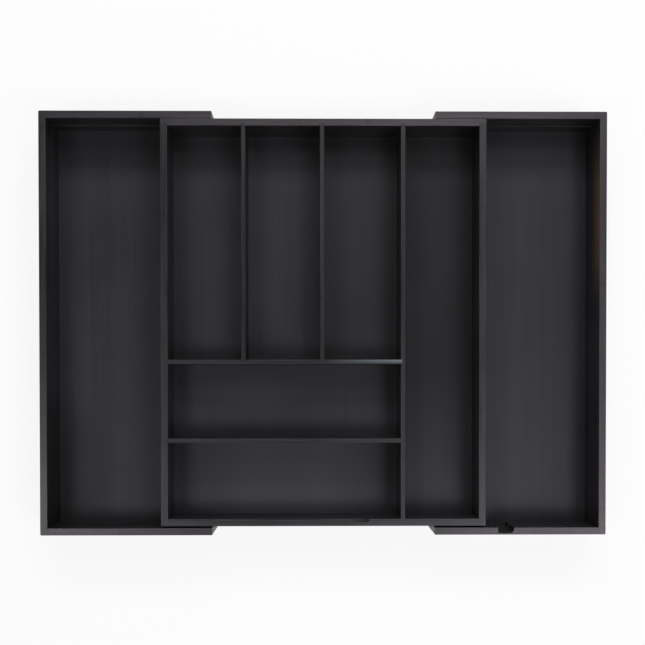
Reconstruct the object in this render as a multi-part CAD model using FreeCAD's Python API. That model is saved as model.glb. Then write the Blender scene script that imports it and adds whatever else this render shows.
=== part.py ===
import FreeCAD, Part
import math
import os

Vector = FreeCAD.Vector

# Expanding cutlery tray of black-stained bamboo: a divided middle tray, and a side tray at each end
# that slides out from round it. Lengths are in millimetres.
# The origin is on the surface that the tray stands on, below its middle. X runs to the right, Y to the
# back and Z up. The side trays are drawn out as far as they go.

# The tray as a whole
tray_height = 60.0
side_depth = 430.0
side_length = 174.5
middle_width = 331.0
overlap = 52.0

# Boards
wall = 7.3
divider = 4.5
floor_thickness = 4.0
edge_round = 0.4
corner_round = 1.3

# Joints between the boards
corner_rabbet = 3.6
floor_lift = 2.5
floor_tongue = 3.0
wall_dado = 2.5
divider_dado = 1.5

# Panel pins at the corners
pin_diameter = 1.3
pin_length = 18.0
pin_clearance = 0.05
pin_height_shares = (0.22, 0.78)

# Slide: runners on the middle tray, in grooves of the side trays' rails that a stop closes at the inner end
play_back = 0.25
play_front = 1.8
slide_clearance = 0.3
groove_bottom = 27.5
groove_height = 5.5
groove_depth = 3.5
runner_seat = 1.5
stop_length = 8.0

# Compartments of the middle tray, counted from the left and from the front
first_slot = 74.6
second_slot = 75.4
third_slot = 77.7
front_bay = 77.6
second_bay = 75.5

# Shallow finger rest, a flat step in the inner top edge of the middle tray's front wall
rest_start = 51.5
rest_length = 160.0
rest_width = 3.6
rest_depth = 1.0
rest_corner = 2.0

# Thumb notch in the front rail of the right side tray
notch_start = 64.5
notch_width = 16.4
notch_drop = 46.0
notch_skin = 1.5
notch_corner = 4.5

# How far a cutting shape runs past the faces that it opens
overrun = 5.0

# Faces that the boards share, worked out from the sizes above
middle_end = middle_width / 2
middle_end_inner = middle_end - wall
side_inner = middle_end - overlap
side_outer = side_inner + side_length
side_outer_inner = side_outer - wall
rail_outer = side_depth / 2
rail_inner = rail_outer - wall
middle_back = rail_inner - play_back
middle_back_inner = middle_back - wall
middle_front = play_front - rail_inner
middle_front_inner = middle_front + wall
side_floor_top = floor_lift + floor_thickness
middle_bottom = side_floor_top + slide_clearance
middle_floor_bottom = middle_bottom + floor_lift
middle_floor_top = middle_floor_bottom + floor_thickness


def span(start, size):
    """The two ends of a stretch that starts at a place and has a size."""
    return (start, start + size)


# Upright spans of the boards, and the places of the dividers
side_upright = (0, tray_height)
middle_upright = (middle_bottom, tray_height)
divider_upright = (middle_floor_top, tray_height)
left_slot_divider_x = span(first_slot - middle_end_inner, divider)
right_slot_divider_x = span(left_slot_divider_x[1] + second_slot, divider)
long_divider_x = span(right_slot_divider_x[1] + third_slot, divider)
front_cross_y = span(middle_front_inner + front_bay, divider)
back_cross_y = span(front_cross_y[1] + second_bay, divider)
groove_upright = span(groove_bottom, groove_height)
runner_upright = (groove_upright[0] + slide_clearance, groove_upright[1] - slide_clearance)
runner_x = (side_inner + stop_length + slide_clearance, middle_end)


def block(x_span, y_span, z_span):
    """A square-edged block between two places along each axis, given in either order."""
    low = Vector(min(x_span), min(y_span), min(z_span))
    high = Vector(max(x_span), max(y_span), max(z_span))
    size = high - low
    return Part.makeBox(size.x, size.y, size.z, low)


def top_edges(shape, height):
    """The edges of a board that lie in its top face."""
    return [edge for edge in shape.Edges if math.isclose(edge.CenterOfMass.z, height)]


def housed_board(x_span, y_span, z_span):
    """A board whose ends are hidden in its neighbours: only its two long top edges are eased."""
    shape = block(x_span, y_span, z_span)
    length = max(abs(x_span[1] - x_span[0]), abs(y_span[1] - y_span[0]))
    edges = [edge for edge in top_edges(shape, max(z_span)) if math.isclose(edge.Length, length)]
    return shape.makeFillet(edge_round, edges)


def upright_edge(shape, x, y):
    """The upright edge of a block that stands at a place."""
    return [
        edge
        for edge in shape.Edges
        if math.isclose(edge.CenterOfMass.x, x) and math.isclose(edge.CenterOfMass.y, y)
    ]


def through_board(x_span, y_span, z_span, upright_rounds):
    """A board that runs past its neighbours. Each upright edge in the list has a place and a radius."""
    shape = block(x_span, y_span, z_span)
    for x, y, radius in upright_rounds:
        shape = shape.makeFillet(radius, upright_edge(shape, x, y))
    return shape.makeFillet(edge_round, top_edges(shape, max(z_span)))


def mirrored_x(shape):
    """The same piece on the other side of the tray, left for right."""
    return shape.mirror(Vector(0, 0, 0), Vector(1, 0, 0))


def mirrored_y(shape):
    """The same piece on the other side of the tray, front for back."""
    return shape.mirror(Vector(0, 0, 0), Vector(0, 1, 0))


def pin_heights(z_span):
    """Heights of a corner's pins between the lower and the top edge of its boards."""
    return [z_span[0] + share * (z_span[1] - z_span[0]) for share in pin_height_shares]


def pins(x, y_face, inward, z_span, clearance=0):
    """The pins of one corner, driven along Y from a face. With a clearance, they are the holes for them."""
    radius = pin_diameter / 2 + clearance
    length = pin_length + clearance
    direction = Vector(0, inward, 0)
    return [Part.makeCylinder(radius, length, Vector(x, y_face, z), direction) for z in pin_heights(z_span)]


# Side tray, drawn on the right
side_pin_x = (side_outer + side_outer_inner) / 2
side_pin_holes = pins(side_pin_x, rail_outer, -1, side_upright, pin_clearance)
side_floor_x = (side_inner, side_outer_inner + floor_tongue)
side_floor_y = (-rail_inner - floor_tongue, rail_inner + floor_tongue)
side_floor_z = (floor_lift, side_floor_top)


def side_back_rail():
    """Long rail of a side tray, with the slide groove and the floor's groove in its inner face."""
    upright_rounds = [
        (side_outer, rail_outer, corner_round),
        (side_inner, rail_outer, edge_round),
        (side_inner, rail_inner, edge_round),
    ]
    rail = through_board((side_inner, side_outer), (rail_inner, rail_outer), side_upright, upright_rounds)
    rabbet = block(
        (side_outer_inner, side_outer + overrun),
        (rail_inner - overrun, rail_inner + corner_rabbet),
        (-overrun, tray_height + overrun),
    )
    slide_groove = block(
        (side_inner - overrun, side_outer_inner),
        (rail_inner - overrun, rail_inner + groove_depth),
        groove_upright,
    )
    floor_groove = block(
        (side_inner - overrun, side_outer_inner),
        (rail_inner - overrun, rail_inner + floor_tongue),
        side_floor_z,
    )
    return rail.cut([rabbet, slide_groove, floor_groove] + side_pin_holes)


def side_outer_wall():
    """Outer end wall of a side tray, housed in the rabbets of its two rails."""
    reach = rail_inner + corner_rabbet
    end_wall = housed_board((side_outer_inner, side_outer), (-reach, reach), side_upright)
    floor_groove = block(
        (side_outer_inner - overrun, side_outer_inner + floor_tongue),
        (-reach - overrun, reach + overrun),
        side_floor_z,
    )
    front_pin_holes = [mirrored_y(hole) for hole in side_pin_holes]
    return end_wall.cut([floor_groove] + side_pin_holes + front_pin_holes)


def side_back_stop():
    """Plug in the inner end of a rail's slide groove. It meets the runner when the tray is drawn out."""
    plug = block(span(side_inner, stop_length), (rail_inner, rail_inner + groove_depth), groove_upright)
    return plug.makeFillet(edge_round, upright_edge(plug, side_inner, rail_inner))


def thumb_notch():
    """What is cut from the front rail of the right side tray for the notch."""
    x_span = span(side_inner + notch_start, notch_width)
    y_outer = notch_skin - rail_outer
    cutter = block(x_span, (y_outer, overrun - rail_inner), (tray_height - notch_drop, tray_height + overrun))
    return cutter.makeFillet(notch_corner, upright_edge(cutter, x_span[1], y_outer))


back_rail = side_back_rail()
front_rail = mirrored_y(back_rail)
outer_wall = side_outer_wall()
side_floor = block(side_floor_x, side_floor_y, side_floor_z)
back_stop = side_back_stop()
front_stop = mirrored_y(back_stop)
back_pins = pins(side_pin_x, rail_outer, -1, side_upright)
side_pins = Part.makeCompound(back_pins + [mirrored_y(pin) for pin in back_pins])

parts = {
    "right_back_rail": back_rail,
    "right_front_rail": front_rail.cut(thumb_notch()),
    "right_outer_wall": outer_wall,
    "right_floor": side_floor,
    "right_back_stop": back_stop,
    "right_front_stop": front_stop,
    "right_corner_pins": side_pins,
    "left_back_rail": mirrored_x(back_rail),
    "left_front_rail": mirrored_x(front_rail),
    "left_outer_wall": mirrored_x(outer_wall),
    "left_floor": mirrored_x(side_floor),
    "left_back_stop": mirrored_x(back_stop),
    "left_front_stop": mirrored_x(front_stop),
    "left_corner_pins": mirrored_x(side_pins),
}


# Middle tray
middle_pin_x = (middle_end + middle_end_inner) / 2
middle_floor_x = (-middle_end_inner - floor_tongue, middle_end_inner + floor_tongue)
middle_floor_y = (middle_front_inner - floor_tongue, middle_back_inner + floor_tongue)
middle_floor_z = (middle_floor_bottom, middle_floor_top)
middle_floor = block(middle_floor_x, middle_floor_y, middle_floor_z)
dado_upright = (middle_floor_top, tray_height + overrun)


def middle_pins(clearance=0):
    """The pins of the middle tray's four corners, or the holes for them."""
    corner_pins = []
    for x in (-middle_pin_x, middle_pin_x):
        corner_pins += pins(x, middle_back, -1, middle_upright, clearance)
        corner_pins += pins(x, middle_front, 1, middle_upright, clearance)
    return corner_pins


middle_pin_holes = middle_pins(pin_clearance)


def right_runner(face, outward):
    """Strip let into a long wall of the middle tray, reaching into the groove of the rail beside it."""
    seat = face - outward * runner_seat
    tip = outward * (rail_inner + groove_depth - slide_clearance)
    return block(runner_x, (seat, tip), runner_upright)


right_back_runner = right_runner(middle_back, 1)
right_front_runner = right_runner(middle_front, -1)
runners = {
    "right_back_runner": right_back_runner,
    "right_front_runner": right_front_runner,
    "left_back_runner": mirrored_x(right_back_runner),
    "left_front_runner": mirrored_x(right_front_runner),
}


def middle_long_wall(face, outward, dividers_x):
    """Front or back wall of the middle tray, between an outer face and one wall thickness inside it."""
    inner = face - outward * wall
    upright_rounds = [(-middle_end, face, corner_round), (middle_end, face, corner_round)]
    board = through_board((-middle_end, middle_end), (face, inner), middle_upright, upright_rounds)
    rabbet = block(
        (middle_end_inner, middle_end + overrun),
        (inner - outward * overrun, inner + outward * corner_rabbet),
        (middle_bottom - overrun, tray_height + overrun),
    )
    dados = [
        block(x_span, (inner - outward * overrun, inner + outward * wall_dado), dado_upright)
        for x_span in dividers_x
    ]
    joints = [rabbet, mirrored_x(rabbet), middle_floor] + dados + list(runners.values())
    return board.cut(joints + middle_pin_holes)


def middle_end_wall():
    """End wall of the middle tray, on the right, housed in the rabbets of the long walls."""
    y_span = (middle_front_inner - corner_rabbet, middle_back_inner + corner_rabbet)
    board = housed_board((middle_end_inner, middle_end), y_span, middle_upright)
    floor_groove = block(
        (middle_end_inner - overrun, middle_end_inner + floor_tongue),
        (y_span[0] - overrun, y_span[1] + overrun),
        middle_floor_z,
    )
    return board.cut([floor_groove] + middle_pin_holes)


def finger_rest():
    """What is cut from the front wall's inner top edge for the finger rest."""
    x_span = span(rest_start - middle_end, rest_length)
    y_outer = middle_front_inner - rest_width
    z_span = (tray_height - rest_depth, tray_height + overrun)
    cutter = block(x_span, (y_outer, middle_front_inner + overrun), z_span)
    corners = upright_edge(cutter, x_span[0], y_outer) + upright_edge(cutter, x_span[1], y_outer)
    return cutter.makeFillet(rest_corner, corners)


end_wall = middle_end_wall()
cross_left = -middle_end_inner - wall_dado
cross_right = long_divider_x[0] + divider_dado
cross_x = (cross_left, cross_right)
back_cross = housed_board(cross_x, back_cross_y, divider_upright)
front_cross = housed_board(cross_x, front_cross_y, divider_upright)
slot_y = (back_cross_y[1] - divider_dado, middle_back_inner + wall_dado)
left_slot = housed_board(left_slot_divider_x, slot_y, divider_upright)
right_slot = housed_board(right_slot_divider_x, slot_y, divider_upright)
long_y = (middle_front_inner - wall_dado, middle_back_inner + wall_dado)
long_divider = housed_board(long_divider_x, long_y, divider_upright)


def dado(x_span, y_span):
    """Upright slot for a divider's end, open at the top."""
    return block(x_span, y_span, dado_upright)


cross_dados = [dado(cross_x, back_cross_y), dado(cross_x, front_cross_y)]
slot_dados = [dado(left_slot_divider_x, slot_y), dado(right_slot_divider_x, slot_y)]
back_dividers_x = [left_slot_divider_x, right_slot_divider_x, long_divider_x]

parts.update(runners)
parts.update({
    "middle_back_wall": middle_long_wall(middle_back, 1, back_dividers_x),
    "middle_front_wall": middle_long_wall(middle_front, -1, [long_divider_x]).cut(finger_rest()),
    "middle_left_wall": mirrored_x(end_wall).cut(cross_dados),
    "middle_right_wall": end_wall,
    "middle_floor": middle_floor,
    "middle_corner_pins": Part.makeCompound(middle_pins()),
    "long_divider": long_divider.cut(cross_dados),
    "back_cross_divider": back_cross.cut(slot_dados),
    "front_cross_divider": front_cross,
    "left_slot_divider": left_slot,
    "right_slot_divider": right_slot,
})

os.makedirs("parts", exist_ok=True)
for name, shape in parts.items():
    shape.exportStep("parts/" + name + ".step")
print(len(parts), "pieces,", 2 * side_outer, "by", side_depth, "by", tray_height, "mm drawn out")
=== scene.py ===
# %% [markdown]
# # An expanding cutlery tray in black bamboo
#
# The tray is a middle tray with dividers, and a side tray at each end that slides out from round it. All of
# it is bamboo board, stained black and sprayed with satin lacquer. The boards come from the CAD frame at
# their real size, so this lesson is about finish and light: a nearly black object on a white ground, where
# almost all that the eye reads is gloss.

# %% Load the frame
import math
from collections import namedtuple

import bmesh
import bpy
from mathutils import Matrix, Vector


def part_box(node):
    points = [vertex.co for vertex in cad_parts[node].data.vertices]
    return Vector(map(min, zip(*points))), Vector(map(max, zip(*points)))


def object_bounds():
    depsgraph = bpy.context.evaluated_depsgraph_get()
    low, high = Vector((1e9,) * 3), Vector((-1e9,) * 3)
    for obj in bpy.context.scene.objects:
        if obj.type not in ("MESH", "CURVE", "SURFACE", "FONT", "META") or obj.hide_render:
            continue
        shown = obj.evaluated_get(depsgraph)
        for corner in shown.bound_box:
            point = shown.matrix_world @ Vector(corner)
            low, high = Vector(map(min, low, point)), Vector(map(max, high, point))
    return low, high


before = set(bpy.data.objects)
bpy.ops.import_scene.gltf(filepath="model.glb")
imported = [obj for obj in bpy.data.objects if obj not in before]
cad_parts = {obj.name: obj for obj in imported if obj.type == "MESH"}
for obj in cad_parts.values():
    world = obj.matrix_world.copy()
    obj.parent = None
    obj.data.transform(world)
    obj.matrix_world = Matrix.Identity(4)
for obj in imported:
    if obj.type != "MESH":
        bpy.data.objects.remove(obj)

cad_low, cad_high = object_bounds()
MM = 0.001
print("frame:", len(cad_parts), "boards and fittings,", [round(v, 3) for v in cad_high - cad_low], "m")

# %% [markdown]
# ## Colours and nodes
#
# Colours are picked in a picture editor, so they are written as sRGB hex values. Blender's sockets take
# linear light, and one function turns the one into the other. A node tree could be built with a helper for
# each kind of node, but one small function that sets properties and makes links is enough. It gives back the
# output that the next node reads, so every material below reads as a list from the pattern to the shader.

# %% Colour and node helpers
WHITE = (1.0, 1.0, 1.0, 1.0)
BLACK_STAIN = "#0a0a0c"
# Inputs and output of a Mix node that blends colours
MIX_A, MIX_B, MIX_COLOUR = 6, 7, 2


def linear(hex_colour):
    """An sRGB hex colour as linear RGBA."""
    channels = [int(hex_colour[i:i + 2], 16) / 255 for i in (1, 3, 5)]
    return [c / 12.92 if c <= 0.04045 else ((c + 0.055) / 1.055) ** 2.4 for c in channels] + [1.0]


def add(tree, kind, inputs=None, output=0, **settings):
    """Add one node with its settings and links, and give back one of its outputs.

    Inputs hold a value, or the output of another node, for each input by name or number.
    """
    node = tree.nodes.new(kind)
    for name, value in settings.items():
        setattr(node, name, value)
    for name, value in (inputs or {}).items():
        if isinstance(value, bpy.types.NodeSocket):
            tree.links.new(value, node.inputs[name])
        else:
            node.inputs[name].default_value = value
    return node.outputs[output] if node.outputs else None


def new_material(name):
    """An empty node material and its tree."""
    material = bpy.data.materials.new(name)
    material.use_nodes = True
    material.node_tree.nodes.clear()
    return material, material.node_tree


print("black stain in linear light:", [round(c, 4) for c in linear(BLACK_STAIN)[:3]])

# %% [markdown]
# ## How bamboo board is made
#
# Bamboo board is glued up from strips about 20 mm wide. Each strip is a bundle of straight fibres, crossed
# every 200 mm or so by a knuckle of the cane, and each takes the stain a little differently. The pattern
# could be painted on an unwrapped surface. Here it is worked out in the space of the board, from its place
# along the grain and its place across, because a solid pattern runs on round every edge as real grain does.

# %% Fibres and streaks
# Real fibres are about 0.3 mm wide. They are drawn three times as coarse, so that they show in a render.
FIBRE_WIDTH = 1.0 * MM
FIBRE_LENGTH = 70 * MM
STREAK_WIDTH = 4.5 * MM
STREAK_LENGTH = 260 * MM
NOISE_DETAIL = 3.0
# Nearly all of a noise lies between these values, which become 0 and 1
NOISE_LOW, NOISE_HIGH = 0.3, 0.7


def spread_noise(tree, place, stretch):
    """Noise from 0 to 1, with its own scale along each axis."""
    stretched = add(tree, "ShaderNodeMapping", {"Vector": place, "Scale": stretch})
    noise = add(tree, "ShaderNodeTexNoise", {"Vector": stretched, "Scale": 1.0, "Detail": NOISE_DETAIL})
    return add(tree, "ShaderNodeMapRange", {"Value": noise, "From Min": NOISE_LOW, "From Max": NOISE_HIGH})


def drawn_out_noise(tree, board, length, width):
    """Noise that is long along the grain and narrow across it."""
    return spread_noise(tree, board, (1 / length, 1 / width, 1 / width))


print("fibres", FIBRE_WIDTH / MM, "mm wide, streaks", STREAK_WIDTH / MM, "mm wide")

# %% Strips, knuckles and glue lines
STRIP_WIDTH = 20 * MM
KNUCKLE_SPACING = 230 * MM
KNUCKLE_WIDTH = 4 * MM
GLUE_LINE = 0.4 * MM
HALF_PERIOD = 0.5


def strip_marks(tree, along, width):
    """A tone for each strip, and the bands where its knuckles and its glue lines lie."""
    count = add(tree, "ShaderNodeMath", {0: width, 1: STRIP_WIDTH}, operation="DIVIDE")
    number = add(tree, "ShaderNodeMath", {0: count}, operation="FLOOR")
    chance = add(tree, "ShaderNodeTexWhiteNoise", {"W": number}, noise_dimensions="1D")
    start = {0: along, 1: 1 / KNUCKLE_SPACING, 2: chance}
    cane = add(tree, "ShaderNodeMath", start, operation="MULTIPLY_ADD")
    bands = []
    for run, breadth in ((cane, KNUCKLE_WIDTH / KNUCKLE_SPACING), (count, GLUE_LINE / STRIP_WIDTH)):
        away = add(tree, "ShaderNodeMath", {0: run, 1: HALF_PERIOD}, operation="PINGPONG")
        fade = {"Value": away, "From Max": breadth, "To Min": 1.0, "To Max": 0.0}
        bands.append(add(tree, "ShaderNodeMapRange", fade))
    return chance, bands[0], bands[1]


print("strips", STRIP_WIDTH / MM, "mm wide, knuckles", KNUCKLE_SPACING / MM, "mm apart")

# %% End grain
BUNDLE_SPACING = 1.1 * MM
# Dark rim of a bundle's dot, as shares of the spacing
DOT_CORE, DOT_RIM = 0.2, 0.45
# How squarely a face looks along the grain before it counts as end grain
END_STARTS, END_FULL = 0.8, 0.95


def end_grain(tree, board, grain):
    """Where a board is cut across its fibres, and the dots that the cut bundles make there."""
    facing = add(tree, "ShaderNodeTexCoord", output="Normal")
    along = add(tree, "ShaderNodeSeparateXYZ", {"Vector": facing}, output=grain)
    square = add(tree, "ShaderNodeMath", {0: along}, operation="ABSOLUTE")
    ends = add(tree, "ShaderNodeMapRange", {"Value": square, "From Min": END_STARTS, "From Max": END_FULL})
    section = (0.0, 1 / BUNDLE_SPACING, 1 / BUNDLE_SPACING)
    cut = add(tree, "ShaderNodeMapping", {"Vector": board, "Scale": section})
    cells = add(tree, "ShaderNodeTexVoronoi", {"Vector": cut, "Scale": 1.0}, output="Distance")
    fade = {"Value": cells, "From Min": DOT_CORE, "From Max": DOT_RIM, "To Min": 1.0, "To Max": 0.0}
    return ends, add(tree, "ShaderNodeMapRange", fade)


print("fibre bundles", round(BUNDLE_SPACING / MM, 1), "mm apart in the end grain")

# %% [markdown]
# ## Worn edges
#
# Sandpaper and hands thin the stain along every edge, and the warm colour of the cane comes through. The
# edges could be painted by hand. The Bevel node finds them instead: it gives the normal as if the edges were
# rounded, and where that turns away from the flat normal, there is an edge.

# %% Edge wear
CANE_BROWN = "#45382f"
EDGE_WEAR_WIDTH = 0.8 * MM
EDGE_WEAR = 0.5
EDGE_SAMPLES = 4
# Cosines of the turn at which wear starts and is full
TURN_STARTS, TURN_FULL = 0.995, 0.85


def edge_wear(tree, fibres):
    """How thin the stain is along the edges, broken up by the fibres."""
    rounded = add(tree, "ShaderNodeBevel", {"Radius": EDGE_WEAR_WIDTH}, samples=EDGE_SAMPLES)
    flat = add(tree, "ShaderNodeNewGeometry", output="Normal")
    both = {0: rounded, 1: flat}
    turn = add(tree, "ShaderNodeVectorMath", both, output="Value", operation="DOT_PRODUCT")
    wear = {"Value": turn, "From Min": TURN_STARTS, "From Max": TURN_FULL, "To Max": EDGE_WEAR}
    edge = add(tree, "ShaderNodeMapRange", wear)
    return add(tree, "ShaderNodeMath", {0: edge, 1: fibres}, operation="MULTIPLY")


print("edges worn", EDGE_WEAR_WIDTH / MM, "mm wide")

# %% [markdown]
# ## Marks of use, and painted light and shade
#
# In one place the tray looks used, as if a hand had rubbed the stain thin. In more places light and shade
# are painted into the colour, and some of these are also made rougher or smoother.
# Such a place could be a painted mask. Here it is a box in the board's space with soft edges, because a box
# can be placed from the boards' own corners. Vector Math works on all three axes at once, so a mark needs
# only a handful of nodes.

# %% Marks
Mark = namedtuple("Mark", "low high soft colour strength dulling")
NOWHERE = (0.0, 0.0, 0.0)
EVERYWHERE = (1.0, 1.0, 1.0)


def mark_share(tree, place, mark):
    """0 outside a mark's box, growing to 1 over its soft edge."""
    above = add(tree, "ShaderNodeVectorMath", {0: place, 1: mark.low}, operation="SUBTRACT")
    below = add(tree, "ShaderNodeVectorMath", {0: mark.high, 1: place}, operation="SUBTRACT")
    inside = add(tree, "ShaderNodeVectorMath", {0: above, 1: below}, operation="MINIMUM")
    share = add(tree, "ShaderNodeVectorMath", {0: inside, 1: mark.soft}, operation="DIVIDE")
    share = add(tree, "ShaderNodeVectorMath", {0: share, 1: NOWHERE}, operation="MAXIMUM")
    share = add(tree, "ShaderNodeVectorMath", {0: share, 1: EVERYWHERE}, operation="MINIMUM")
    each = add(tree, "ShaderNodeSeparateXYZ", {"Vector": share}).node.outputs
    flat = add(tree, "ShaderNodeMath", {0: each["X"], 1: each["Y"]}, operation="MULTIPLY")
    return add(tree, "ShaderNodeMath", {0: flat, 1: each["Z"]}, operation="MULTIPLY")


print("a mark has", ", ".join(Mark._fields))

# %% [markdown]
# ## Black-stained bamboo under satin lacquer
#
# Under black stain the tones of the strips nearly go, and most of what the eye reads is the lacquer. It
# dries in faint clouds and sinks along the fibres, so the grain shows as a change of gloss, as shallow
# relief and as a little warmth where the stain is thin. The grain follows a board's length, so each finish
# is made twice: for boards that run left and right, and for those that run front to back.

# %% Stained bamboo
Finish = namedtuple("Finish", "stain thin_stain roughness fibre_dulling gloss_index gloss_tint relief")
CLOUD_SIZE = 90 * MM
# How much each pattern adds to the tone, and the span of the sum that goes from full stain to thin stain
CLOUD_TONE, STREAK_TONE, STRIP_TONE, KNUCKLE_TONE, GLUE_TONE = 0.6, 0.6, 0.4, -0.5, -0.6
TONE_LOW, TONE_HIGH = 0.7, 2.3
# How much each pattern adds to the roughness, which is lowest where the lacquer lies thickest
THICK_LACQUER, CLOUD_DULLING, END_DULLING = -0.07, 0.09, 0.12
# Heights of the marks in the board, as shares of the fibres' relief
KNUCKLE_RISE, GLUE_RISE = 0.8, -1.5


def layered(tree, first, layers):
    """A first pattern with others added to it, each times its weight."""
    for pattern, weight in layers:
        first = add(tree, "ShaderNodeMath", {0: pattern, 1: weight, 2: first}, operation="MULTIPLY_ADD")
    return first


def stained_bamboo(name, grain, finish, marks=()):
    """Bamboo board with its grain along X or Y, stained black under satin lacquer, with any marks of use or
    painted light and shade.
    """
    material, tree = new_material(name)
    place = add(tree, "ShaderNodeTexCoord", output="Object")
    axes = add(tree, "ShaderNodeSeparateXYZ", {"Vector": place}).node.outputs
    along, across = (axes["X"], axes["Y"]) if grain == "X" else (axes["Y"], axes["X"])
    board = add(tree, "ShaderNodeCombineXYZ", {"X": along, "Y": across, "Z": axes["Z"]})
    # The width runs on from the top of a board down its sides
    width = add(tree, "ShaderNodeMath", {0: across, 1: axes["Z"]}, operation="ADD")
    fibres = drawn_out_noise(tree, board, FIBRE_LENGTH, FIBRE_WIDTH)
    streaks = drawn_out_noise(tree, board, STREAK_LENGTH, STREAK_WIDTH)
    clouds = spread_noise(tree, place, (1 / CLOUD_SIZE, 1 / CLOUD_SIZE, 1 / CLOUD_SIZE))
    strips, knuckles, glue_lines = strip_marks(tree, along, width)
    ends, dots = end_grain(tree, board, grain)
    # Tone: fibres with the other patterns over them, and dots on the end grain
    over = [(clouds, CLOUD_TONE), (streaks, STREAK_TONE), (strips, STRIP_TONE)]
    over += [(knuckles, KNUCKLE_TONE), (glue_lines, GLUE_TONE)]
    tone = layered(tree, fibres, over)
    tone = add(tree, "ShaderNodeMapRange", {"Value": tone, "From Min": TONE_LOW, "From Max": TONE_HIGH})
    tone = add(tree, "ShaderNodeMapRange", {"Value": ends, "To Min": tone, "To Max": dots})
    # Gloss: fibres and end grain drink the lacquer in
    dulled = [(clouds, CLOUD_DULLING), (fibres, finish.fibre_dulling), (ends, END_DULLING)]
    gloss = layered(tree, finish.roughness + THICK_LACQUER, dulled)
    # Colour: the stain, thin along the edges
    stains = {0: tone, MIX_A: linear(finish.stain), MIX_B: linear(finish.thin_stain)}
    colour = add(tree, "ShaderNodeMix", stains, MIX_COLOUR, data_type="RGBA")
    worn = {0: edge_wear(tree, fibres), MIX_A: colour, MIX_B: linear(CANE_BROWN)}
    colour = add(tree, "ShaderNodeMix", worn, MIX_COLOUR, data_type="RGBA")
    for mark in marks:
        share = mark_share(tree, place, mark)
        gloss = layered(tree, gloss, [(share, mark.dulling)])
        share = add(tree, "ShaderNodeMath", {0: share, 1: mark.strength}, operation="MULTIPLY")
        marked = {0: share, MIX_A: colour, MIX_B: linear(mark.colour)}
        colour = add(tree, "ShaderNodeMix", marked, MIX_COLOUR, data_type="RGBA")
    # Relief: fibres and knuckles stand up, glue lines are sunk
    height = layered(tree, fibres, [(knuckles, KNUCKLE_RISE), (glue_lines, GLUE_RISE)])
    relief = add(tree, "ShaderNodeBump", {"Height": height, "Distance": finish.relief})
    lacquer = {"Base Color": colour, "Roughness": gloss, "Normal": relief}
    lacquer["IOR"] = finish.gloss_index
    lacquer["Specular Tint"] = linear(finish.gloss_tint)
    shader = add(tree, "ShaderNodeBsdfPrincipled", lacquer)
    add(tree, "ShaderNodeOutputMaterial", {"Surface": shader})
    return material


print("a finish has", ", ".join(Finish._fields))

# %% [markdown]
# ## The boards
#
# Satin lacquer on wood has an index of refraction of about 1.5 and a roughness of about 0.4. In the
# photograph the side trays shine a little more than the middle tray, and the dividers a little less. So there
# is one finish for each kind of board, and they differ mostly in the strength of their gloss, which the index
# of refraction sets. Its values lie round 1.5 and are fitted to the photograph.

# %% Finishes of the boards
# Sprayed satin lacquer: soft bright rims with a violet cast
SIDE_BOARD = Finish(
    stain=BLACK_STAIN,
    thin_stain="#333134",
    roughness=0.38,
    fibre_dulling=0.08,
    gloss_index=1.60,
    gloss_tint="#fff4ff",
    relief=0.04 * MM,
)
# The same lacquer on the middle tray: the same black, a little quieter
MIDDLE_BOARD = SIDE_BOARD._replace(thin_stain="#302f33", gloss_index=1.53, gloss_tint="#faf7ff")
# Thin boards sanded smooth: a neutral, duller rim
DIVIDER_BOARD = MIDDLE_BOARD._replace(
    thin_stain="#2d2d30",
    roughness=0.40,
    gloss_index=1.49,
    gloss_tint="#f6f7ff",
)

plain_boards = {}
for grain in "XY":
    plain_boards["side", grain] = stained_bamboo("black_bamboo_side_board_" + grain, grain, SIDE_BOARD)
    plain_boards["middle", grain] = stained_bamboo("black_bamboo_middle_board_" + grain, grain, MIDDLE_BOARD)
    plain_boards["divider", grain] = stained_bamboo("black_bamboo_divider_" + grain, grain, DIVIDER_BOARD)
print("plain boards:", [material.name for material in plain_boards.values()])

# %% [markdown]
# ## Boards with marks
#
# Some boards have marks. Inside the right end wall a hand has rubbed the stain off, and brown cane shows. The
# other marks are painted light and shade: painted shade darkens the inside of the left end wall towards the
# front, painted light draws a pale line along the grooves of the back rails, a painted highlight lies on the
# right end of the back cross divider, and painted shade turns the right end of the finger rest black.

# %% Marks on the end walls
# How far a mark reaches from the face that it lies on
SKIN = 1.5 * MM
RUB_FRONT, RUB_BACK, RUB_FADE = 22 * MM, 199 * MM, 55 * MM
# The rub ends sharply at the rim and fades out down the wall
RUB_EDGE, RUB_DROP = 0.2 * MM, 29 * MM
END_WALL_SHADE_BACK, END_WALL_SHADE_FADE = -60 * MM, 30 * MM

# The left end wall is the mirror image of the right one, so one box serves both
wall_low, wall_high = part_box("right_outer_wall")
brown_rub = Mark(
    low=(wall_low.x - SKIN, RUB_FRONT, wall_high.z - RUB_DROP),
    high=(wall_low.x + RUB_EDGE, RUB_BACK, wall_high.z + RUB_DROP),
    soft=(RUB_EDGE, RUB_FADE, RUB_DROP),
    colour="#745a3d",
    strength=0.85,
    dulling=0.0,
)
# Painted shade: dark colour over the inside of the left end wall towards its front corner
end_wall_painted_shade = Mark(
    low=(-wall_low.x - SKIN, wall_low.y - END_WALL_SHADE_FADE, wall_low.z - SKIN),
    high=(-wall_low.x + SKIN, END_WALL_SHADE_BACK, wall_high.z),
    soft=(SKIN, END_WALL_SHADE_FADE, SKIN),
    colour="#080708",
    strength=0.8,
    dulling=0.1,
)
# Brown cane through rubbed stain: a warm glow on the wall
right_end_wall = stained_bamboo("black_bamboo_rubbed_end_wall", "Y", SIDE_BOARD, [brown_rub])
# Painted shade: the front of the wall is dark, and no grain shows there
left_end_wall = stained_bamboo("black_bamboo_painted_shade_end_wall", "Y", SIDE_BOARD, [end_wall_painted_shade])
print("end walls:", right_end_wall.name, left_end_wall.name)

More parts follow.
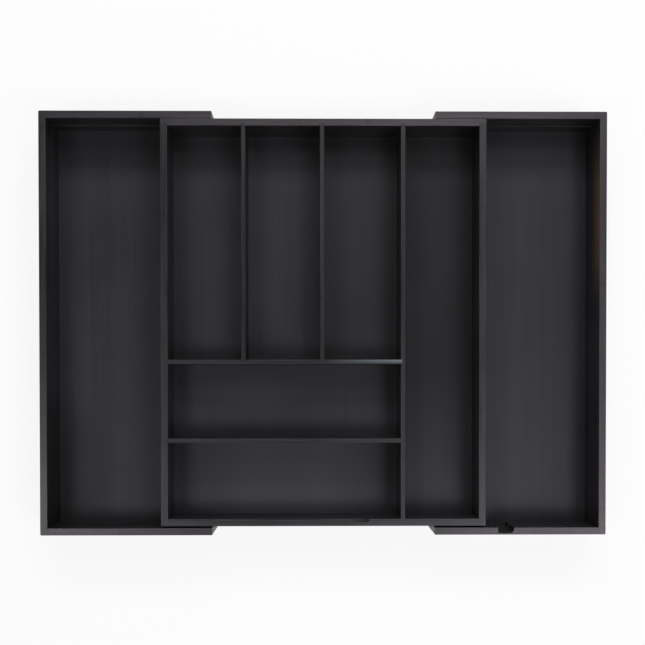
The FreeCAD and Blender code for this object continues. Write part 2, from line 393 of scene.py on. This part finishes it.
# %% Marks on the back rails and a divider
stop_low, stop_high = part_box("right_back_stop")
# Painted light: a pale line along the bottom of each back rail's groove, where its lower lip catches the
# light
groove_painted_light = Mark(
    low=(cad_low.x, stop_low.y - SKIN, stop_low.z - SKIN),
    high=(cad_high.x, stop_high.y + SKIN, stop_low.z + SKIN),
    soft=(SKIN, SKIN, SKIN),
    colour="#3a3738",
    strength=0.5,
    dulling=0.0,
)
cross_low, cross_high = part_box("back_cross_divider")
glint_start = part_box("right_slot_divider")[1].x
glint_length = cross_high.x - glint_start
glint_width = cross_high.y - cross_low.y
# Painted highlight: a cool pale glint on the top of the back cross divider, growing towards its right end
painted_glint = Mark(
    low=(glint_start, cross_low.y, cross_high.z - SKIN),
    high=(cross_high.x + glint_length, cross_high.y + glint_width, cross_high.z + SKIN),
    soft=(glint_length, glint_width, SKIN),
    colour="#78848b",
    strength=0.8,
    dulling=0.0,
)
# Painted light: a thin grey line along the groove, where its lower lip catches the light
back_rail = stained_bamboo("black_bamboo_grooved_rail", "X", SIDE_BOARD, [groove_painted_light])
# Painted highlight: a cool pale streak on the divider's top
glint_divider = stained_bamboo("black_bamboo_painted_glint_divider", "X", DIVIDER_BOARD, [painted_glint])
print("painted glint:", round(glint_length / MM, 1), "mm long")

# %% Mark on the finger rest
# End of the rest from the left end of the wall, its depth, and the length of the painted-dark, smoother patch
# there
REST_END, REST_DEPTH, POLISHED_AND_SHADED_LENGTH = 211.5 * MM, 1.0 * MM, 22 * MM

front_low, front_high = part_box("middle_front_wall")
rest_end = front_low.x + REST_END
# The mark stays below the rim, so the rim keeps its gloss
# Painted shade: black colour at the right end of the rest, with smoother lacquer
polished_and_shaded_end = Mark(
    low=(rest_end - POLISHED_AND_SHADED_LENGTH, front_low.y, front_high.z - 2 * REST_DEPTH),
    high=(rest_end + POLISHED_AND_SHADED_LENGTH, front_high.y + SKIN, front_high.z - REST_DEPTH / 2),
    soft=(POLISHED_AND_SHADED_LENGTH, SKIN, REST_DEPTH / 2),
    colour=BLACK_STAIN,
    strength=0.9,
    dulling=-0.2,
)
# Smoother lacquer mirrors the dark ceiling, and painted shade blackens the colour: a black end to the finger
# rest
finger_rest_wall = stained_bamboo("black_bamboo_finger_rest_wall", "X", MIDDLE_BOARD, [polished_and_shaded_end])
print("finger rest shaded and polished over", round(POLISHED_AND_SHADED_LENGTH / MM), "mm")

# %% [markdown]
# ## The floors
#
# The floors are thin bamboo ply, rolled with one thin coat. Most of it sinks in, so a floor mirrors little:
# it shows a soft grey that scatters in the stain, fading towards the walls that shade it. Their index of
# refraction is set below that of lacquer, because that is what matches the photograph.
#
# Some floors are paler or darker than the light alone would make them. That is painted light and shade in
# the colour: painted shade darkens the two slots on the right, and the long one is also made rougher; painted
# light brightens the middle of the bays and the right tray; and painted shade darkens the left slot along its
# wall and a corner of the left tray.

# %% Floor panels
# One rolled coat on ply: a flat, dull grey with hardly any grain
FLOOR_PANEL = Finish(
    stain="#232225",
    thin_stain="#2d2c2f",
    roughness=0.48,
    fibre_dulling=0.03,
    gloss_index=1.40,
    gloss_tint="#fbf8ff",
    relief=0.008 * MM,
)
# Painted light, a pale grey, and painted shade, two dark greys, for the floors
PAINTED_LIGHT_GREY, PAINTED_SHADE_GREY, PAINTED_SHADE_BLACK = "#3f3d40", "#151416", "#0f0e10"


def floor_mark(floor, x_span, y_span, fade, colour, strength, dulling=0.0):
    """A mark on the top of a floor, between two places each way, with a fade each way."""
    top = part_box(floor)[1].z
    low = (x_span[0], y_span[0], top - SKIN)
    high = (x_span[1], y_span[1], top + SKIN)
    return Mark(low, high, (fade[0], fade[1], SKIN), colour, strength, dulling)


print("floors:", FLOOR_PANEL.stain, "to", FLOOR_PANEL.thin_stain)

# %% Marks on the middle floor
LONG_SLOT_SHADE_START, LONG_SLOT_SHADE_FADE = 30 * MM, 120 * MM
SLOT_WALL_SHADE_WIDTH = 45 * MM
BAY_SIDE, BAY_SIDE_FADE, BAY_FADE = 20 * MM, 60 * MM, 28 * MM

bay_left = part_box("middle_left_wall")[1].x
slot_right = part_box("middle_right_wall")[0].x
slot_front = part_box("middle_front_wall")[1].y
slot_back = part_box("middle_back_wall")[0].y
third_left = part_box("right_slot_divider")[1].x
long_divider_low, long_divider_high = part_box("long_divider")
front_cross_low, front_cross_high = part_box("front_cross_divider")
middle_painted_light_and_shade = [
    # Long slot, painted shade and a rougher finish towards the back
    floor_mark(
        "middle_floor",
        (long_divider_high.x - SKIN, slot_right + SKIN),
        (slot_front + LONG_SLOT_SHADE_START, slot_back + LONG_SLOT_SHADE_FADE / 2),
        (SKIN, LONG_SLOT_SHADE_FADE),
        PAINTED_SHADE_GREY,
        strength=0.9,
        dulling=0.17,
    ),
    # Left slot, painted shade along the wall
    floor_mark(
        "middle_floor",
        (bay_left - SLOT_WALL_SHADE_WIDTH, bay_left + SLOT_WALL_SHADE_WIDTH),
        (cross_high.y - SKIN, slot_back + SKIN),
        (SLOT_WALL_SHADE_WIDTH, SKIN),
        PAINTED_SHADE_GREY,
        strength=0.55,
    ),
    # Third slot, a little painted shade
    floor_mark(
        "middle_floor",
        (third_left - SKIN, long_divider_low.x + SKIN),
        (cross_high.y - SKIN, slot_back + SKIN),
        (SKIN, SKIN),
        PAINTED_SHADE_GREY,
        strength=0.55,
    ),
    # Front bay, painted light over its middle
    floor_mark(
        "middle_floor",
        (bay_left + BAY_SIDE, long_divider_low.x - BAY_SIDE),
        (slot_front - SKIN, front_cross_low.y + SKIN),
        (BAY_SIDE_FADE, SKIN),
        PAINTED_LIGHT_GREY,
        strength=0.72,
    ),
    # Back bay, painted light along its middle, more on the left
    floor_mark(
        "middle_floor",
        (bay_left, third_left),
        (front_cross_high.y + BAY_SIDE, cross_low.y),
        (BAY_SIDE_FADE, BAY_FADE),
        PAINTED_LIGHT_GREY,
        strength=0.4,
    ),
]
middle_panel = stained_bamboo("black_bamboo_ply_lit_and_shaded_panel", "Y", FLOOR_PANEL, middle_painted_light_and_shade)
print("middle floor:", len(middle_painted_light_and_shade), "marks")

# %% Marks on the side floors
FLOOR_SHADE_REACH, FLOOR_SHADE_BACK, FLOOR_SHADE_FRONT, FLOOR_SHADE_FADE = 65 * MM, -65 * MM, -235 * MM, 50 * MM
LIGHT_POOL_BACK, LIGHT_POOL_SIDE, LIGHT_POOL_FADE = 130 * MM, 30 * MM, 50 * MM

left_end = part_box("left_floor")[0].x
# Painted shade in the front left corner of the left tray's floor
left_corner_painted_shade = floor_mark(
    "left_floor",
    (left_end - FLOOR_SHADE_REACH, left_end + FLOOR_SHADE_REACH),
    (FLOOR_SHADE_FRONT, FLOOR_SHADE_BACK),
    (FLOOR_SHADE_REACH, FLOOR_SHADE_FADE),
    PAINTED_SHADE_BLACK,
    strength=0.9,
    dulling=0.12,
)
right_floor_low, right_floor_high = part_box("right_floor")
# Painted light over the middle of the right tray's floor
right_floor_painted_light = floor_mark(
    "right_floor",
    (right_floor_low.x, right_floor_high.x - LIGHT_POOL_SIDE),
    (right_floor_low.y - LIGHT_POOL_FADE, LIGHT_POOL_BACK),
    (LIGHT_POOL_FADE, LIGHT_POOL_FADE),
    PAINTED_LIGHT_GREY,
    strength=0.12,
)
left_panel = stained_bamboo("black_bamboo_ply_painted_shade_panel", "Y", FLOOR_PANEL, [left_corner_painted_shade])
right_panel = stained_bamboo("black_bamboo_ply_painted_light_panel", "Y", FLOOR_PANEL, [right_floor_painted_light])
print("panels:", left_panel.name, middle_panel.name, right_panel.name)

# %% [markdown]
# ## Slide strips and pins
#
# The runners and stops are bamboo strips that are only waxed, so that they slide. The corner pins are thin
# steel nails, set flush and blackened. They are metal, so they keep the default index of refraction, and only
# a fine noise in the roughness breaks up their tiny heads.

# %% Strips and pins
# Wax sinks in: a dry, slightly brown strip
SLIDE_STRIP = SIDE_BOARD._replace(
    stain="#14110f",
    thin_stain="#352d27",
    roughness=0.50,
    gloss_index=1.45,
    gloss_tint="#ffffff",
)
OXIDE_SPECK = 0.4 * MM
OXIDE_DARK, OXIDE_PALE = "#5c5a5a", "#7d7a79"
OXIDE_SMOOTH, OXIDE_ROUGH = 0.3, 0.55


def blackened_steel():
    """Steel wire with a dark oxide skin: a grey glint in the black."""
    material, tree = new_material("blackened_steel_wire")
    place = add(tree, "ShaderNodeTexCoord", output="Object")
    specks = spread_noise(tree, place, (1 / OXIDE_SPECK, 1 / OXIDE_SPECK, 1 / OXIDE_SPECK))
    rough = add(tree, "ShaderNodeMapRange", {"Value": specks, "To Min": OXIDE_SMOOTH, "To Max": OXIDE_ROUGH})
    oxide = {0: specks, MIX_A: linear(OXIDE_DARK), MIX_B: linear(OXIDE_PALE)}
    tone = add(tree, "ShaderNodeMix", oxide, MIX_COLOUR, data_type="RGBA")
    shader = add(tree, "ShaderNodeBsdfPrincipled", {"Base Color": tone, "Metallic": 1.0, "Roughness": rough})
    add(tree, "ShaderNodeOutputMaterial", {"Surface": shader})
    return material


waxed_strip = stained_bamboo("waxed_bamboo_strip", "X", SLIDE_STRIP)
pin_steel = blackened_steel()
print("strips and pins:", waxed_strip.name, pin_steel.name)

# %% [markdown]
# ## Giving each board its finish
#
# A board's name says what it is, so most finishes go by the end of the name. The grain runs along a board's
# length, so for the plain boards the box tells which way round the material goes.

# %% Assign materials
named_finishes = {
    "pins": pin_steel,
    "runner": waxed_strip,
    "stop": waxed_strip,
    "left_floor": left_panel,
    "middle_floor": middle_panel,
    "right_floor": right_panel,
    "left_outer_wall": left_end_wall,
    "right_outer_wall": right_end_wall,
    "back_rail": back_rail,
    "back_cross_divider": glint_divider,
    "middle_front_wall": finger_rest_wall,
}


def finish_of(name):
    """The material of a node, from what it is and which way it runs."""
    for ending, material in named_finishes.items():
        if name.endswith(ending):
            return material
    low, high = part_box(name)
    size = high - low
    grain = "X" if size.x > size.y else "Y"
    if name.endswith("divider"):
        return plain_boards["divider", grain]
    # The middle tray's back wall is as glossy as the side trays
    if name.startswith("middle") and name != "middle_back_wall":
        return plain_boards["middle", grain]
    return plain_boards["side", grain]


for name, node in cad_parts.items():
    node.data.materials.clear()
    node.data.materials.append(finish_of(name))
print({name: node.data.materials[0].name for name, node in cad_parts.items()})

# %% [markdown]
# ## Ground
#
# The ground is white paper. A lit sheet would show every change of light, so the camera sees it mostly as
# plain white, and only a share of diffuse paper near the tray keeps its shadow. That share fades out further
# away, so that the ground runs into the white of the room with no edge.

# %% White ground
GROUND_SIZE = 12.0
PAPER_SHARE = 0.15
PAPER_NEAR = 0.5
PAPER_FAR = 1.5


def white_paper():
    """Paper that the camera sees as white, with a share of real shading so that it takes the shadow."""
    material, tree = new_material("white_studio_paper")
    place = add(tree, "ShaderNodeTexCoord", output="Object")
    away = add(tree, "ShaderNodeVectorMath", {0: place}, output="Value", operation="LENGTH")
    fade = {"Value": away, "From Min": PAPER_NEAR, "From Max": PAPER_FAR, "To Min": 1 - PAPER_SHARE}
    whiteness = add(tree, "ShaderNodeMapRange", fade, interpolation_type="SMOOTHSTEP")
    rays = add(tree, "ShaderNodeLightPath").node.outputs
    direct = {0: rays["Is Camera Ray"], 1: rays["Is Glossy Ray"]}
    seen = add(tree, "ShaderNodeMath", direct, operation="MAXIMUM")
    seen = add(tree, "ShaderNodeMath", {0: seen, 1: rays["Is Transmission Ray"]}, operation="MAXIMUM")
    share = add(tree, "ShaderNodeMath", {0: seen, 1: whiteness}, operation="MULTIPLY")
    paper = add(tree, "ShaderNodeBsdfDiffuse", {"Color": WHITE})
    white = add(tree, "ShaderNodeEmission", {"Color": WHITE, "Strength": 1.0})
    mixed = add(tree, "ShaderNodeMixShader", {0: share, 1: paper, 2: white})
    add(tree, "ShaderNodeOutputMaterial", {"Surface": mixed})
    return material


ground_shape = bmesh.new()
bmesh.ops.create_grid(ground_shape, x_segments=1, y_segments=1, size=GROUND_SIZE / 2)
ground_mesh = bpy.data.meshes.new("studio_ground")
ground_shape.to_mesh(ground_mesh)
ground_shape.free()
ground_mesh.materials.append(white_paper())
ground = bpy.data.objects.new("studio_ground", ground_mesh)
bpy.context.scene.collection.objects.link(ground)
print("ground:", GROUND_SIZE, "m square")

# %% [markdown]
# ## Light
#
# A black object gives back little light of its own: each lamp is read as a soft reflection on the boards that
# mirror it to the eye. One big lamp overhead would lay a grey veil over everything. Instead a ring of
# softboxes stands well off to the sides, so that from above the rims catch a glow and the floors fade towards
# the walls. The long strip at the back lights the faces that look away from the viewer. The ring is a little
# stronger on the right, as in the photograph.

# %% Lamps
Lamp = namedtuple("Lamp", "name x y width depth power")
LAMP_HEIGHT = 1.6
# Places and sizes in metres, power in watts
lamps = [
    Lamp("back_strip", 0.1, 1.5, 2.0, 0.5, 20.5),
    Lamp("back_near_strip", 0.3, 0.75, 1.0, 0.4, 3.0),
    Lamp("front_right_near_softbox", 0.65, -0.6, 0.6, 0.5, 7.1),
    Lamp("front_right_far_softbox", 1.3, -1.0, 0.8, 0.8, 5.0),
    Lamp("front_left_softbox", -0.74, -0.51, 0.5, 0.5, 5.0),
    Lamp("right_softbox", 1.35, 0.8, 0.8, 0.8, 0.5),
]
tray_middle = (cad_low + cad_high) / 2
for lamp in lamps:
    light = bpy.data.lights.new(lamp.name, "AREA")
    light.shape = "RECTANGLE"
    light.size = lamp.width
    light.size_y = lamp.depth
    light.energy = lamp.power
    stand = bpy.data.objects.new(lamp.name, light)
    stand.location = (lamp.x, lamp.y, LAMP_HEIGHT)
    stand.rotation_euler = (tray_middle - stand.location).to_track_quat("-Z", "Y").to_euler()
    bpy.context.scene.collection.objects.link(stand)
print("lamps:", {lamp.name: lamp.power for lamp in lamps})

# %% [markdown]
# ## Room
#
# The room fills in what the lamps leave. Its walls are bright and its ceiling dark: so the outer faces of the
# tray, which mirror the walls, stay readable from every side, and the rims, which mirror the ceiling, stay
# black. The camera itself sees plain white.

# %% World
WALL_LEVEL = 0.6
CEILING_LEVEL = 0.05
# The walls go over into the ceiling between these heights of a direction, from 0 level to 1 straight up
WALL_TOP, CEILING_STARTS = 0.1, 0.75

world = bpy.data.worlds.new("studio")
bpy.context.scene.world = world
world.use_nodes = True
sky = world.node_tree
sky.nodes.clear()
direction = add(sky, "ShaderNodeTexCoord", output="Generated")
up = add(sky, "ShaderNodeSeparateXYZ", {"Vector": direction}, output="Z")
heights = {"From Min": WALL_TOP, "From Max": CEILING_STARTS}
levels = {"To Min": WALL_LEVEL, "To Max": CEILING_LEVEL}
level = add(sky, "ShaderNodeMapRange", {"Value": up, **heights, **levels})
room = add(sky, "ShaderNodeBackground", {"Color": WHITE, "Strength": level})
backdrop = add(sky, "ShaderNodeBackground", {"Color": WHITE, "Strength": 1.0})
camera_ray = add(sky, "ShaderNodeLightPath", output="Is Camera Ray")
seen_room = add(sky, "ShaderNodeMixShader", {0: camera_ray, 1: room, 2: backdrop})
add(sky, "ShaderNodeOutputWorld", {"Surface": seen_room})
bpy.context.scene.view_settings.view_transform = "Standard"
print("room:", WALL_LEVEL, "at the walls,", CEILING_LEVEL, "overhead")

# %% [markdown]
# ## Camera
#
# The photograph looks straight down from a little over a metre. The inner faces of the walls show which way:
# they all lean away from one point, which is where the camera stands over the tray, and it lies in front of
# the tray's middle. Tilting the camera back to centre the tray would make its sides run together, and in the
# photograph they don't. So the camera looks straight down and its lens is shifted, as on a view camera. What
# is left of a turn is under one degree.

# %% Camera
PICTURE = 645
FOCAL_PIXELS = 1017.7
SENSOR = 36.0
CAMERA_PLACE = (-0.0121, -0.0608, 1.0942)
CAMERA_TURN = (-0.916, -0.606, -0.033)
CAMERA_SHIFT = 0.12

lens = bpy.data.cameras.new("overhead_camera")
lens.sensor_width = SENSOR
lens.lens = SENSOR * FOCAL_PIXELS / PICTURE
lens.shift_y = CAMERA_SHIFT
camera = bpy.data.objects.new("overhead_camera", lens)
camera.location = CAMERA_PLACE
camera.rotation_euler = [math.radians(angle) for angle in CAMERA_TURN]
bpy.context.scene.collection.objects.link(camera)
bpy.context.scene.camera = camera
print("camera:", round(lens.lens, 1), "mm lens at", CAMERA_PLACE)
